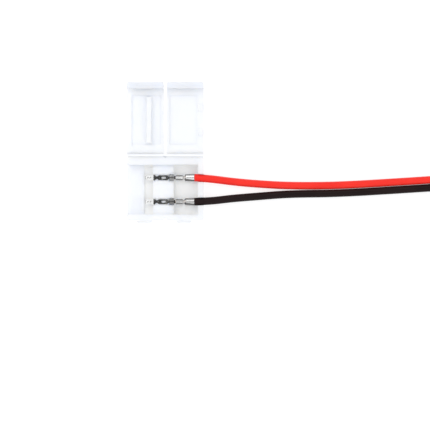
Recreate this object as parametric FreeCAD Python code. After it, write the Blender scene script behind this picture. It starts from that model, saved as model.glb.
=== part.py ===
"""Clip-on connector for a two-wire LED strip, lying open with its lead.

A white moulded tray carries two stamped contacts, each crimped on a wire. Two leaves hang on the
tray's long side by thin hinge films: one presses the strip on the contacts' tips, the other holds
the wires down. Both lie open here.

Millimetres, +Z up. The origin is the middle of the tray's underside, on the strip's centreline.
The strip enters from -X, the leads leave towards +X and the leaves hang on the +Y side.
"""
import FreeCAD, Part
import math
import os

# The strip that the connector is made for
STRIP_WIDTH = 10.0
STRIP_THICKNESS = 0.35
STRIP_SIDE_GAP = 0.15
STRIP_TOP_GAP = 0.1

# Tray, from the strip's mouth to the leads
TRAY_HEIGHT = 2.7
FLOOR = 0.9
POCKET_FLOOR = 0.5
LATCH_WALL = 1.3
HINGE_WALL = 1.9
LANDING_LENGTH = 3.6
TIP_POCKET_LENGTH = 1.8
BRIDGE_LENGTH = 4.35
CRIMP_POCKET_LENGTH = 5.0
LEAD_WALL = 1.25
BRIDGE_COVER = 0.3
TRAY_CORNER = 0.6
TRAY_EDGE = 0.25
LEAD_IN = 0.4
NOTCH_WIDTH = 0.9
NOTCH_DEPTH = 0.5

# Contacts, stamped from tinned sheet
CONTACT_PITCH = 5.0
SHEET = 0.25
TIP_WIDTH = 1.1
BODY_WIDTH = 1.1
FORK_WIDTH = 1.3
NECK_WIDTH = 0.6
NECK_LENGTH = 0.2
FLARE_LENGTH = 0.15
FORK_TAPER = 0.4
BODY_TAPER = 0.25
TIP_BEVEL = 0.2
SLOT_LENGTH = 1.0
SLOT_WIDTH = 0.32
TONGUE_ROOT = 0.15
TIP_RISE = 0.3
DIMPLE_RADIUS = 0.2
DIMPLE_SPACING = 0.5
DIMPLE_DEPTH = 0.1
SHOULDER_WIDTH = 1.3
SHOULDER_LENGTH = 0.9
SHOULDER_HEIGHT = 0.7
FOLD_GAP = 0.16
GROOVE_GAP = 0.12
CORE_CRIMP_WIDTH = 1.05
CORE_CRIMP_HEIGHT = 1.05
CORE_CRIMP_LENGTH = 1.4
GRIP_LENGTH = 2.2
GRIP_END_SLOPE = 0.12
GRIP_WALL = 0.24
GRIP_SKEW = -8.0
SEAM_WIDTH = 0.12
SEAM_Y = -0.32
NECK_SETBACK = 0.5
CRIMP_GAP = 0.02
CRIMP_LIFT = 0.24
CORE_CRIMP_SETBACK = 0.45
GRIP_SETBACK = 0.65

# Wires
WIRE_DIAMETER = 1.6
GRIPPED_DIAMETER = 1.2
STRAND_RADIUS = 0.1
STRAND_RING = 0.15
STRAND_BED = 0.04
BRUSH_LENGTH = 0.12
CORE_DROP = 0.08
SADDLE_GAP = 0.16
TAIL_DIAMETER = 0.76
TAIL_LENGTH = 5.0
TAIL_BEVEL = 0.12

# Leaves and their hinge
LEAF_PLATE = 1.0
LEAF_SLOT = 0.72
LID_GAP = 0.05
BEAD_RADIUS = 0.3
BEAD_GAP = 0.05
FILM = 0.3
HINGE_REACH = 0.2
ROOT_GAP = 0.22
SKIRT_GAP = 0.1
SKIRT_WALL = 1.3
SKIRT_DEPTH = 1.8
LEAF_CORNER = 0.5
LEAF_EDGE = 0.2
LEAF_RIM = 1.0
PANEL_DEPTH = 0.3
PANEL_CORNER = 0.3
PANEL_END_GAP = 0.1
RIB_WIDTH = 1.0
RIB_GAP = 0.1
RIB_END_GAP = 0.35
RIB_OFFSET = 0.1
RIB_EDGE = 0.15
PAD_WIDTH = 1.4
PAD_GAP = 0.1
PAD_SETBACK = 0.15
PAD_BEVEL = 0.1

# Latch: two catches on the tray, a window in each skirt
CATCH_WIDTH = 3.3
CATCH_REACH = 0.5
CATCH_HEIGHT = 1.0
CATCH_FLAT = 0.3
CATCH_BEVEL = 0.3
CATCH_DROP = 0.1
CATCH_OFFSET = 0.3
CATCH_GAP = 0.1
LEDGE_HEIGHT = 0.55
LEDGE_CLEARANCE = 0.05
WINDOW_BAR = 0.3

# Round marks that the mould's ejector pins leave
EJECTOR_MARK = 0.06
LEAF_MARK_RADIUS = 1.15
TRAY_MARK_RADIUS = 0.85
MARK_RIM = 0.25

# Coil of the two wires, one flat turn and a little more
COIL_FIRST_RADIUS = 12.35
COIL_END_RADIUS = 7.2
COIL_TAIL_ANGLE = 105.0
PAIR_PITCH = 1.66

# Stations along X
TRAY_LENGTH = LANDING_LENGTH + TIP_POCKET_LENGTH + BRIDGE_LENGTH + CRIMP_POCKET_LENGTH + LEAD_WALL
MOUTH_X = -TRAY_LENGTH / 2
POCKET_X = MOUTH_X + LANDING_LENGTH
BRIDGE_X = POCKET_X + TIP_POCKET_LENGTH
CRIMP_X = BRIDGE_X + BRIDGE_LENGTH
WALL_X = CRIMP_X + CRIMP_POCKET_LENGTH
END_X = WALL_X + LEAD_WALL
TIP_X = POCKET_X + 0.1 * TIP_POCKET_LENGTH
SHOULDER_X = CRIMP_X - SHOULDER_LENGTH
CORE_CRIMP_X = CRIMP_X + CORE_CRIMP_SETBACK
BRUSH_X = CORE_CRIMP_X - BRUSH_LENGTH
GRIP_END_X = WALL_X - GRIP_SETBACK
GRIP_X = GRIP_END_X - GRIP_LENGTH
NECK_X = GRIP_X + NECK_SETBACK

# Stations along Y
HALF_CHANNEL = STRIP_WIDTH / 2 + STRIP_SIDE_GAP
LATCH_Y = -HALF_CHANNEL - LATCH_WALL
HINGE_SIDE_Y = HALF_CHANNEL + HINGE_WALL
HINGE_Y = HINGE_SIDE_Y + HINGE_REACH

# Levels
CONTACT_Z = FLOOR + STRIP_THICKNESS + STRIP_TOP_GAP
BRIDGE_Z = CONTACT_Z + SHEET + BRIDGE_COVER
GRIP_RADIUS = GRIPPED_DIAMETER / 2 + CRIMP_GAP + GRIP_WALL
WIRE_Z = POCKET_FLOOR + CRIMP_LIFT + GRIP_RADIUS
CORE_Z = WIRE_Z - CORE_DROP
STRANDS_RADIUS = STRAND_RING + STRAND_RADIUS + CRIMP_GAP
CORE_CRIMP_Z = CORE_Z - STRANDS_RADIUS - SHEET + STRAND_BED
HINGE_Z = TRAY_HEIGHT + LID_GAP / 2
CATCH_X = (POCKET_X, (END_X + LEAF_SLOT / 2) / 2 - CATCH_OFFSET)
CATCH_Z = TRAY_HEIGHT - CATCH_DROP - CATCH_HEIGHT
RED_Y = CONTACT_PITCH / 2
BLACK_Y = -CONTACT_PITCH / 2
TABLE_WIRE_Z = WIRE_DIAMETER / 2

# Routes of the wires from the crimps to the coil, corner points of the path
RED_ROUTE = [
    (GRIP_END_X, RED_Y, WIRE_Z),
    (9.3, 2.28, 1.52),
    (13.8, 1.68, 0.96),
    (19.0, 1.20, TABLE_WIRE_Z),
    (26.0, 0.80, TABLE_WIRE_Z),
    (36.0, 0.86, TABLE_WIRE_Z),
    (50.0, 1.70, TABLE_WIRE_Z),
    (60.5, 2.42, TABLE_WIRE_Z),
    (70.5, 2.42, TABLE_WIRE_Z),
]
BLACK_ROUTE = [
    (GRIP_END_X, BLACK_Y, WIRE_Z),
    (9.3, -2.40, 1.52),
    (13.8, -1.84, 0.96),
    (19.0, -1.42, TABLE_WIRE_Z),
    (26.0, -0.87, TABLE_WIRE_Z),
    (36.0, -0.79, TABLE_WIRE_Z),
    (50.0, 0.06, TABLE_WIRE_Z),
    (60.5, 0.76, TABLE_WIRE_Z),
    (70.5, 0.76, TABLE_WIRE_Z),
]


def point(x, y, z):
    """Return a point or direction."""
    return FreeCAD.Vector(x, y, z)


def box(x0, x1, y0, y1, z0, z1):
    """Return a block between two opposite corners."""
    return Part.makeBox(x1 - x0, y1 - y0, z1 - z0, point(x0, y0, z0))


def rounded_edges(corners, radii, closed=True):
    """Return the lines and tangent arcs along corners, each rounded by its own radius."""
    count = len(corners)
    edges = []
    last = None
    first = None
    for i, corner in enumerate(corners):
        if not closed and i in (0, count - 1):
            start, end, arc = corner, corner, None
        else:
            back = (corners[i - 1] - corner).normalize()
            ahead = (corners[(i + 1) % count] - corner).normalize()
            half = back.getAngle(ahead) / 2
            reach = radii[i] / math.tan(half)
            start = corner + back * reach
            end = corner + ahead * reach
            arc = None
            if radii[i] > 0:
                inward = (back + ahead).normalize()
                centre = corner + inward * (radii[i] / math.sin(half))
                arc = Part.Arc(start, centre - inward * radii[i], end).toShape()
        if last is not None and last.distanceToPoint(start) > 1e-6:
            edges.append(Part.LineSegment(last, start).toShape())
        if arc is not None:
            edges.append(arc)
        if first is None:
            first = start
        last = end
    if closed and last.distanceToPoint(first) > 1e-6:
        edges.append(Part.LineSegment(last, first).toShape())
    return edges


def prism(corners, direction, radii=None):
    """Return the solid that a rounded outline sweeps along a direction."""
    wire = Part.Wire(rounded_edges(corners, radii or [0.0] * len(corners)))
    return Part.Face(wire).extrude(direction)


def plan_prism(outline, z0, z1, radii=None):
    """Return a solid with an outline of (x, y) corners, between two levels."""
    return prism([point(x, y, z0) for x, y in outline], point(0, 0, z1 - z0), radii)


def section_prism(outline, x0, x1, radii=None):
    """Return a solid with a section of (y, z) corners, between two stations along X."""
    return prism([point(x0, y, z) for y, z in outline], point(x1 - x0, 0, 0), radii)


def side_prism(outline, y0, y1, radii=None):
    """Return a solid with a side view of (x, z) corners, between two stations along Y."""
    return prism([point(x, y0, z) for x, z in outline], point(0, y1 - y0, 0), radii)


def rod(x0, x1, y, z, radius):
    """Return a round bar along X."""
    return Part.makeCylinder(radius, x1 - x0, point(x0, y, z), point(1, 0, 0))


def ring_mark(x, y, z, radius):
    """Return the shallow ring that an ejector pin leaves in a face at level z."""
    height = 2 * EJECTOR_MARK
    low = point(x, y, z - EJECTOR_MARK)
    rim = Part.makeCylinder(radius, height, low)
    return rim.cut(Part.makeCylinder(radius - MARK_RIM, height, low))


def tray_shell():
    """Return the tray's walls and floor, with rounded corners, before its details."""
    corners = [(MOUTH_X, LATCH_Y), (END_X, LATCH_Y), (END_X, HINGE_SIDE_Y), (MOUTH_X, HINGE_SIDE_Y)]
    shell = plan_prism(corners, 0, TRAY_HEIGHT, [TRAY_CORNER] * 4)
    under = [edge for edge in shell.Edges if edge.BoundBox.ZMax < 1e-6]
    return shell.makeFillet(TRAY_EDGE, under)


def strip_mouth():
    """Return the room for the strip, with a funnel where it enters."""
    channel = box(MOUTH_X - 1, POCKET_X, -HALF_CHANNEL, HALF_CHANNEL, FLOOR, TRAY_HEIGHT + 1)
    outer = HALF_CHANNEL + LEAD_IN
    funnel = plan_prism(
        [(MOUTH_X - 1, -outer), (MOUTH_X, -outer), (MOUTH_X + LEAD_IN, -HALF_CHANNEL),
         (MOUTH_X + LEAD_IN, HALF_CHANNEL), (MOUTH_X, outer), (MOUTH_X - 1, outer)],
        FLOOR, TRAY_HEIGHT + 1)
    ramp = side_prism(
        [(MOUTH_X - 1, FLOOR - LEAD_IN / 2), (MOUTH_X, FLOOR - LEAD_IN / 2),
         (MOUTH_X + 2 * LEAD_IN, FLOOR), (MOUTH_X - 1, FLOOR)],
        -HALF_CHANNEL, HALF_CHANNEL)
    return channel.fuse(funnel).fuse(ramp)


def contact_groove(y):
    """Return the groove that one contact lies in, wider at the contact's shoulder."""
    half = BODY_WIDTH / 2 + GROOVE_GAP
    mouth = FORK_WIDTH / 2 + GROOVE_GAP
    wide = SHOULDER_WIDTH / 2 + GROOVE_GAP
    step = SHOULDER_X - GROOVE_GAP
    flare = BRIDGE_X + 0.2 * BRIDGE_LENGTH
    outline = [
        (BRIDGE_X - 1, y - mouth), (flare - 0.3, y - mouth), (flare, y - half), (step, y - half),
        (step, y - wide), (CRIMP_X + 1, y - wide), (CRIMP_X + 1, y + wide), (step, y + wide),
        (step, y + half), (flare, y + half), (flare - 0.3, y + mouth), (BRIDGE_X - 1, y + mouth)]
    return plan_prism(outline, CONTACT_Z, TRAY_HEIGHT + 1)


def wire_saddle(y):
    """Return the round-bottomed notch in the lead wall that one wire leaves through."""
    half = WIRE_DIAMETER / 2 + SADDLE_GAP
    bottom = WIRE_Z - WIRE_DIAMETER / 2 - SADDLE_GAP / 2
    high = TRAY_HEIGHT + 1
    outline = [(y - half, bottom), (y + half, bottom), (y + half, high), (y - half, high)]
    round_bottom = 0.8 * half
    return section_prism(outline, WALL_X - 1, END_X + 1, [round_bottom, round_bottom, 0, 0])


def catch(x):
    """Return one catch on the latch wall: flat below, sloped above, with bevelled ends."""
    top = CATCH_Z + CATCH_HEIGHT
    outer = LATCH_Y - CATCH_REACH
    section = [
        (LATCH_Y + 0.2, CATCH_Z), (outer, CATCH_Z), (outer, CATCH_Z + CATCH_FLAT),
        (LATCH_Y, top), (LATCH_Y + 0.2, top)]
    half = CATCH_WIDTH / 2
    body = section_prism(section, x - half, x + half)
    plan = [
        (x - half, LATCH_Y + 0.2), (x - half, LATCH_Y), (x - half + CATCH_BEVEL, outer),
        (x + half - CATCH_BEVEL, outer), (x + half, LATCH_Y), (x + half, LATCH_Y + 0.2)]
    return body.common(plan_prism(plan, CATCH_Z - 1, top + 1))


def base_tray():
    """Return the moulded tray."""
    tray = tray_shell()
    rooms = strip_mouth()
    half = HALF_CHANNEL
    rooms = rooms.fuse(box(POCKET_X, BRIDGE_X, -half, half, POCKET_FLOOR, TRAY_HEIGHT + 1))
    rooms = rooms.fuse(box(BRIDGE_X, CRIMP_X, -half, half, BRIDGE_Z, TRAY_HEIGHT + 1))
    rooms = rooms.fuse(box(CRIMP_X, WALL_X, -half, half, POCKET_FLOOR, TRAY_HEIGHT + 1))
    for y in (RED_Y, BLACK_Y):
        rooms = rooms.fuse(contact_groove(y))
        rooms = rooms.fuse(wire_saddle(y))
    tray = tray.cut(rooms)
    notch_half = NOTCH_WIDTH / 2
    latch_notch = plan_prism(
        [(-notch_half, LATCH_Y - 1), (notch_half, LATCH_Y - 1), (notch_half, LATCH_Y),
         (notch_half / 2, LATCH_Y + NOTCH_DEPTH), (-notch_half / 2, LATCH_Y + NOTCH_DEPTH),
         (-notch_half, LATCH_Y)],
        -1, TRAY_HEIGHT + 1)
    hinge_notch = plan_prism(
        [(-notch_half, HINGE_SIDE_Y + 1), (-notch_half, HINGE_SIDE_Y),
         (0, HINGE_SIDE_Y - NOTCH_DEPTH), (notch_half, HINGE_SIDE_Y),
         (notch_half, HINGE_SIDE_Y + 1)],
        TRAY_HEIGHT - 1, TRAY_HEIGHT + 1)
    seat = rod(MOUTH_X - 1, END_X + 1, HINGE_Y, HINGE_Z, BEAD_RADIUS + BEAD_GAP)
    tray = tray.cut(latch_notch).cut(hinge_notch).cut(seat)
    for x in CATCH_X:
        tray = tray.fuse(catch(x))
    mark_x = MOUTH_X + 0.6 * LANDING_LENGTH
    tray = tray.cut(ring_mark(mark_x, BLACK_Y, FLOOR, TRAY_MARK_RADIUS))
    return tray.removeSplitter()


def opened(y):
    """Return where a station of the shut leaf lies when the leaf is open."""
    return 2 * HINGE_Y - y


def leaf(x0, x1, panel_x0, panel_x1, catch_x, outer_left):
    """Return a leaf lying open: plate, skirt, hinge film, sunk panel and catch window."""
    root = HINGE_Y + ROOT_GAP
    skirt_y = opened(LATCH_Y - SKIRT_GAP)
    end = skirt_y + SKIRT_WALL
    low = TRAY_HEIGHT - LEAF_PLATE
    high = TRAY_HEIGHT + SKIRT_DEPTH
    section = [
        (root, low), (end, low), (end, high), (skirt_y, high), (skirt_y, TRAY_HEIGHT),
        (root, TRAY_HEIGHT)]
    bar = section_prism(section, x0, x1, [LEAF_EDGE, LEAF_EDGE, LEAF_EDGE, 0, 0, 0])
    inner_corner = LEAF_CORNER / 2
    left, right = (LEAF_CORNER, inner_corner) if outer_left else (inner_corner, LEAF_CORNER)
    plan = [(x0, root - 1), (x1, root - 1), (x1, end), (x0, end)]
    blank = bar.common(plan_prism(plan, low - 1, high + 1, [0, 0, right, left]))
    panel = plan_prism(
        [(panel_x0, opened(HALF_CHANNEL)), (panel_x1, opened(HALF_CHANNEL)),
         (panel_x1, opened(-HALF_CHANNEL)), (panel_x0, opened(-HALF_CHANNEL))],
        TRAY_HEIGHT - PANEL_DEPTH, TRAY_HEIGHT + 1, [PANEL_CORNER] * 4)
    blank = blank.cut(panel)
    return blank.cut(catch_window(catch_x, low)).fuse(hinge_film(x0, x1, root))


def catch_window(x, low):
    """Return the room that a catch has in an open leaf: a window through the plate, and a
    shallower way past the ledge that closes under the catch."""
    half = CATCH_WIDTH / 2 + CATCH_GAP
    outer = opened(LATCH_Y - SKIRT_GAP) + SKIRT_WALL - WINDOW_BAR
    inner = opened(LATCH_Y) - 0.2
    ledge = TRAY_HEIGHT + SKIRT_DEPTH - LEDGE_HEIGHT
    window = plan_prism(
        [(x - half, opened(LATCH_Y - SKIRT_GAP)), (x + half, opened(LATCH_Y - SKIRT_GAP)),
         (x + half, outer), (x - half, outer)],
        low - 1, ledge)
    clear = opened(LATCH_Y - CATCH_REACH - LEDGE_CLEARANCE)
    way = box(x - half, x + half, inner, clear, TRAY_HEIGHT, TRAY_HEIGHT + SKIRT_DEPTH + 1)
    return window.fuse(way)


def hinge_film(x0, x1, root):
    """Return the thin film of a leaf, with the bead that it bends about."""
    top = TRAY_HEIGHT
    web = box(x0, x1, HINGE_Y, root + 0.05, top - FILM, top)
    bead = rod(x0, x1, HINGE_Y, HINGE_Z, BEAD_RADIUS)
    flat = box(x0, x1, HINGE_Y - 1, HINGE_Y + 1, top - FILM - 1, HINGE_Z + BEAD_RADIUS / 2)
    return web.fuse(bead.common(flat))


def strip_leaf():
    """Return the leaf over the strip, with the rib that presses the strip on the contacts."""
    x1 = -LEAF_SLOT / 2
    panel_x0 = MOUTH_X + LEAF_RIM
    panel_x1 = x1 - LEAF_RIM / 2
    shape = leaf(MOUTH_X, x1, panel_x0, panel_x1, CATCH_X[0], True)
    rib_x = POCKET_X + TIP_POCKET_LENGTH / 2 + RIB_OFFSET
    tongue_top = CONTACT_Z + TIP_RISE + SHEET
    rib_top = 2 * HINGE_Z - tongue_top - RIB_GAP
    reach = HALF_CHANNEL - RIB_END_GAP
    rib = box(rib_x - RIB_WIDTH / 2, rib_x + RIB_WIDTH / 2, opened(reach), opened(-reach),
              TRAY_HEIGHT - PANEL_DEPTH - 0.1, rib_top)
    rim = [edge for edge in rib.Edges if edge.BoundBox.ZMin > rib_top - 1e-6]
    rib = rib.makeFillet(RIB_EDGE, rim)
    mark = ring_mark(MOUTH_X + 0.64 * LANDING_LENGTH, opened(0), TRAY_HEIGHT - PANEL_DEPTH,
                     LEAF_MARK_RADIUS)
    return shape.fuse(rib).cut(mark).removeSplitter()


def wire_leaf():
    """Return the leaf over the wires, with a pad over each wire's saddle."""
    x0 = LEAF_SLOT / 2
    panel_x1 = WALL_X - PANEL_END_GAP
    shape = leaf(x0, END_X, x0 + LEAF_RIM / 2, panel_x1, CATCH_X[1], False)
    pad_top = 2 * HINGE_Z - WIRE_Z - WIRE_DIAMETER / 2 - PAD_GAP
    for y in (RED_Y, BLACK_Y):
        half = PAD_WIDTH / 2
        near, far = WALL_X + PAD_SETBACK, END_X - PAD_SETBACK
        rim = pad_top - PAD_BEVEL
        pad = side_prism(
            [(near, TRAY_HEIGHT - 0.1), (far, TRAY_HEIGHT - 0.1), (far, rim),
             (far - PAD_BEVEL, pad_top), (near + PAD_BEVEL, pad_top), (near, rim)],
            opened(y) - half, opened(y) + half)
        shape = shape.fuse(pad)
    return shape.removeSplitter()


def bent_strip(levels):
    """Return the sheet along a side view of (x, underside z) bends, wider than any contact."""
    under = [point(x, -2, z) for x, z in levels]
    over = [point(x, -2, z + SHEET) for x, z in reversed(levels)]
    return prism(under + over, point(0, 4, 0))


def mirrored_outline(stations):
    """Return plan corners from (x, half width) stations, mirrored about the contact's axis."""
    right = [(x, -half) for x, half in stations]
    left = [(x, half) for x, half in reversed(stations)]
    return right + left


def contact_blank():
    """Return the bent and stamped sheet of a contact, about y = 0."""
    grip_z = WIRE_Z - GRIP_RADIUS
    fork = BRIDGE_X + TONGUE_ROOT
    levels = [
        (TIP_X, tongue_level(TIP_X)), (fork, CONTACT_Z), (CRIMP_X + 0.02, CONTACT_Z),
        (CORE_CRIMP_X - 0.1, CORE_CRIMP_Z), (CORE_CRIMP_X + CORE_CRIMP_LENGTH, CORE_CRIMP_Z),
        (GRIP_X + 0.4, grip_z), (GRIP_END_X, grip_z)]
    neck = fork + FLARE_LENGTH + FORK_TAPER
    body = neck + NECK_LENGTH + BODY_TAPER
    body_end = SHOULDER_X - NECK_LENGTH - FLARE_LENGTH
    throat = CORE_CRIMP_WIDTH / 3
    stations = [
        (TIP_X, TIP_WIDTH / 2 - TIP_BEVEL), (TIP_X + TIP_BEVEL, TIP_WIDTH / 2),
        (fork - FLARE_LENGTH, TIP_WIDTH / 2), (fork, FORK_WIDTH / 2),
        (fork + FLARE_LENGTH, FORK_WIDTH / 2), (neck, NECK_WIDTH / 2),
        (neck + NECK_LENGTH, NECK_WIDTH / 2), (body, BODY_WIDTH / 2), (body_end, BODY_WIDTH / 2),
        (body_end + FLARE_LENGTH, NECK_WIDTH / 2), (SHOULDER_X, NECK_WIDTH / 2),
        (GRIP_END_X, throat)]
    outline = plan_prism(mirrored_outline(stations), 0, TRAY_HEIGHT)
    blank = bent_strip(levels).common(outline)
    slot_x = (body + body_end) / 2
    straight = (SLOT_LENGTH - SLOT_WIDTH) / 2
    half = SLOT_WIDTH / 2
    slot = plan_prism(
        [(slot_x - straight - half, -half), (slot_x + straight + half, -half),
         (slot_x + straight + half, half), (slot_x - straight - half, half)],
        0, TRAY_HEIGHT, [0.98 * half] * 4)
    return blank.cut(slot)


def tongue_level(x):
    """Return the underside of the sprung tongue, which ramps up from the bridge to its tip."""
    root = BRIDGE_X + TONGUE_ROOT
    return CONTACT_Z + TIP_RISE * (root - x) / (root - TIP_X)


def tip_dimples(shape):
    """Press two small eight-sided dimples down into a contact's tip."""
    corners = [math.radians(45 * i + 22.5) for i in range(8)]
    for step in (0, 1):
        x = TIP_X + 0.5 + step * DIMPLE_SPACING
        under = tongue_level(x)
        rim = [(x + DIMPLE_RADIUS * math.cos(turn), DIMPLE_RADIUS * math.sin(turn))
               for turn in corners]
        pit = [(x + 0.7 * (px - x), 0.7 * py) for px, py in rim]
        shape = shape.fuse(plan_prism(rim, under - DIMPLE_DEPTH, under + SHEET / 2))
        shape = shape.cut(plan_prism(pit, under + SHEET - DIMPLE_DEPTH, TRAY_HEIGHT))
    return shape


def shoulder():
    """Return the contact's box-folded shoulder, which locks it in the bridge."""
    half = SHOULDER_WIDTH / 2
    inner = half - SHEET
    lip = FOLD_GAP / 2
    low, high = CONTACT_Z + SHEET, CONTACT_Z + SHOULDER_HEIGHT - SHEET
    top = CONTACT_Z + SHOULDER_HEIGHT
    section = [
        (-half, CONTACT_Z), (half, CONTACT_Z), (half, top), (lip, top), (lip, high),
        (inner, high), (inner, low), (-inner, low), (-inner, high), (-lip, high), (-lip, top),
        (-half, top)]
    bend = 0.8 * SHEET
    folded = section_prism(section, SHOULDER_X, CRIMP_X, [bend] * 3 + [0] * 8 + [bend])
    slope = SHOULDER_LENGTH / 3
    side = [
        (SHOULDER_X, CONTACT_Z), (CRIMP_X, CONTACT_Z), (CRIMP_X, top - 0.1),
        (CRIMP_X - slope / 2, top), (SHOULDER_X + slope, top), (SHOULDER_X, high)]
    return folded.common(side_prism(side, -2, 2))


def core_crimp():
    """Return the barrel that is rolled round the strands, with the cleft of its two wings."""
    half = CORE_CRIMP_WIDTH / 2
    low = CORE_CRIMP_Z
    lobe = half / 2
    lobe_z = low + CORE_CRIMP_HEIGHT - lobe
    start = CORE_CRIMP_X
    flank = point(start, half, lobe_z)
    cleft = point(start, 0, lobe_z)
    other = point(start, -half, lobe_z)
    corner = 0.4 * half
    foot = [
        point(start, -half, lobe_z), point(start, -half, low), point(start, half, low),
        point(start, half, lobe_z)]
    edges = rounded_edges(foot, [0, corner, corner, 0], closed=False)
    edges.append(Part.Arc(flank, point(start, lobe, lobe_z + lobe), cleft).toShape())
    edges.append(Part.Arc(cleft, point(start, -lobe, lobe_z + lobe), other).toShape())
    barrel = Part.Face(Part.Wire(edges)).extrude(point(CORE_CRIMP_LENGTH, 0, 0))
    return barrel.cut(rod(start - 1, start + CORE_CRIMP_LENGTH + 1, 0, CORE_Z, STRANDS_RADIUS))


def insulation_grip():
    """Return the sleeve that is rolled round the insulation, with skewed wings and seam."""
    sleeve = rod(GRIP_X, GRIP_END_X, 0, WIRE_Z, GRIP_RADIUS)
    sleeve = sleeve.cut(rod(GRIP_X - 1, GRIP_END_X + 1, 0, WIRE_Z, GRIP_RADIUS - GRIP_WALL))
    low, high = WIRE_Z - GRIP_RADIUS - 0.1, WIRE_Z + GRIP_RADIUS + 0.1
    wings = side_prism(
        [(GRIP_X, low), (GRIP_END_X, low), (GRIP_END_X - GRIP_END_SLOPE, high), (NECK_X, high)],
        -2, 2)
    sleeve = sleeve.common(wings)
    half = SEAM_WIDTH / 2
    seam = box(GRIP_X - 1, GRIP_END_X + 1, SEAM_Y - half, SEAM_Y + half, WIRE_Z, high)
    middle = point((GRIP_X + GRIP_END_X) / 2, SEAM_Y, WIRE_Z)
    seam.rotate(middle, point(0, 0, 1), GRIP_SKEW)
    return sleeve.cut(seam)


def contact(y):
    """Return one contact at its place across the tray."""
    shape = tip_dimples(contact_blank())
    shape = shape.fuse(shoulder()).fuse(core_crimp()).fuse(insulation_grip())
    gripped = rod(GRIP_X, GRIP_END_X + 1, 0, WIRE_Z, GRIPPED_DIAMETER / 2 + CRIMP_GAP)
    core = rod(BRUSH_X, GRIP_X, 0, CORE_Z, STRANDS_RADIUS)
    shape = shape.cut(gripped).cut(core).removeSplitter()
    shape.translate(point(0, y, 0))
    return shape


def strands(y):
    """Return the seven strands in the core crimp as one bundle of six-sided bars."""
    x0, x1 = BRUSH_X, NECK_X
    corners = [math.radians(60 * i + 30) for i in range(6)]

    def bar(side, level):
        return section_prism(
            [(side + STRAND_RADIUS * math.cos(turn), level + STRAND_RADIUS * math.sin(turn))
             for turn in corners],
            x0, x1)
    bundle = bar(y, CORE_Z)
    for i in range(6):
        turn = math.radians(60 * i)
        bundle = bundle.fuse(
            bar(y + STRAND_RING * math.cos(turn), CORE_Z + STRAND_RING * math.sin(turn)))
    return bundle.removeSplitter()


def route_edges(route, name):
    """Return a wire's path: straight runs, each corner with as large an arc as its runs allow."""
    corners = [point(*place) for place in route]
    radii = [0.0]
    for back, corner, ahead in zip(corners, corners[1:], corners[2:]):
        shorter = min((corner - back).Length, (ahead - corner).Length)
        turn = (corner - back).getAngle(ahead - corner)
        radii.append(0.45 * shorter / math.tan(turn / 2))
    radii.append(0.0)
    print(name, "radii", [round(radius) for radius in radii[1:-1]])
    return rounded_edges(corners, radii, closed=False)


def lead(route, name):
    """Return a wire from its crimp to the coil, with its gripped end."""
    path = Part.Wire(route_edges(route, name))
    start = point(*route[0])
    ahead = (point(*route[1]) - start).normalize()
    circle = Part.Wire([Part.Circle(start, ahead, WIRE_DIAMETER / 2).toShape()])
    tube = path.makePipeShell([circle], True, False)
    ideal = math.pi * (WIRE_DIAMETER / 2) ** 2 * path.Length
    print(name, "length", round(path.Length, 2), "volume ratio", round(tube.Volume / ideal, 4))
    inside = rod(NECK_X, GRIP_END_X + 0.02, start.y, start.z, GRIPPED_DIAMETER / 2)
    clear = box(GRIP_END_X - 1, GRIP_END_X, start.y - 2, start.y + 2, 0, 4)
    return tube.cut(clear).fuse(inside)


def arc_about(centre_y, radius, degrees0, degrees1):
    """Return a flat arc of the coil, anticlockwise from one angle to another."""
    def at(degrees):
        turn = math.radians(degrees)
        return point(COIL_X + radius * math.cos(turn), centre_y + radius * math.sin(turn), 0)
    return Part.Arc(at(degrees0), at((degrees0 + degrees1) / 2), at(degrees1)).toShape()


def coil_turns():
    """Return the centre y and mean radius of the coil's three arcs, each inside the one before."""
    turns = []
    start, side = COIL_Y, 1
    for radius in (COIL_FIRST_RADIUS, COIL_FIRST_RADIUS - PAIR_PITCH, COIL_END_RADIUS):
        turns.append((start + side * radius, radius))
        start += 2 * side * radius
        side = -side
    return turns


def lead_coil():
    """Return the outer shape of the coiled pair: a flat spiral band with its centre open."""
    half = PAIR_PITCH
    (y1, r1), (y2, r2), (y3, r3) = coil_turns()
    outer = [arc_about(y1, r1 + half, -90, 90), arc_about(y2, r2 + half, 90, 270)]
    first = point(COIL_X, y1 - r1 - half, 0)
    last = point(COIL_X, y2 - r2 - half, 0)
    outer.append(Part.LineSegment(last, first).toShape())
    end = -90 + COIL_TAIL_ANGLE
    turn = math.radians(end)
    step = point(COIL_X + (r3 - half) * math.cos(turn), y3 + (r3 - half) * math.sin(turn), 0)
    edge = arc_about(y1, r1 - half, coil_step_angle(), 90)
    inner = [edge, arc_about(y2, r2 - half, 90, 270), arc_about(y3, r3 - half, -90, end)]
    inner.append(Part.LineSegment(step, edge.Vertexes[0].Point).toShape())
    ring = Part.Face(Part.Wire(outer)).extrude(point(0, 0, WIRE_DIAMETER))
    hole = Part.Face(Part.Wire(inner)).extrude(point(0, 0, WIRE_DIAMETER))
    return ring.cut(hole)


def coil_step_angle():
    """Return the angle on the first arc's inner edge that faces the end of the third arc."""
    (y1, r1), _, (y3, r3) = coil_turns()
    turn = math.radians(-90 + COIL_TAIL_ANGLE)
    reach = r1 - PAIR_PITCH
    shift = y3 - y1
    along = -shift * math.sin(turn) + math.sqrt(reach ** 2 - (shift * math.cos(turn)) ** 2)
    x = along * math.cos(turn)
    y = shift + along * math.sin(turn)
    return math.degrees(math.atan2(y, x))


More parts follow.
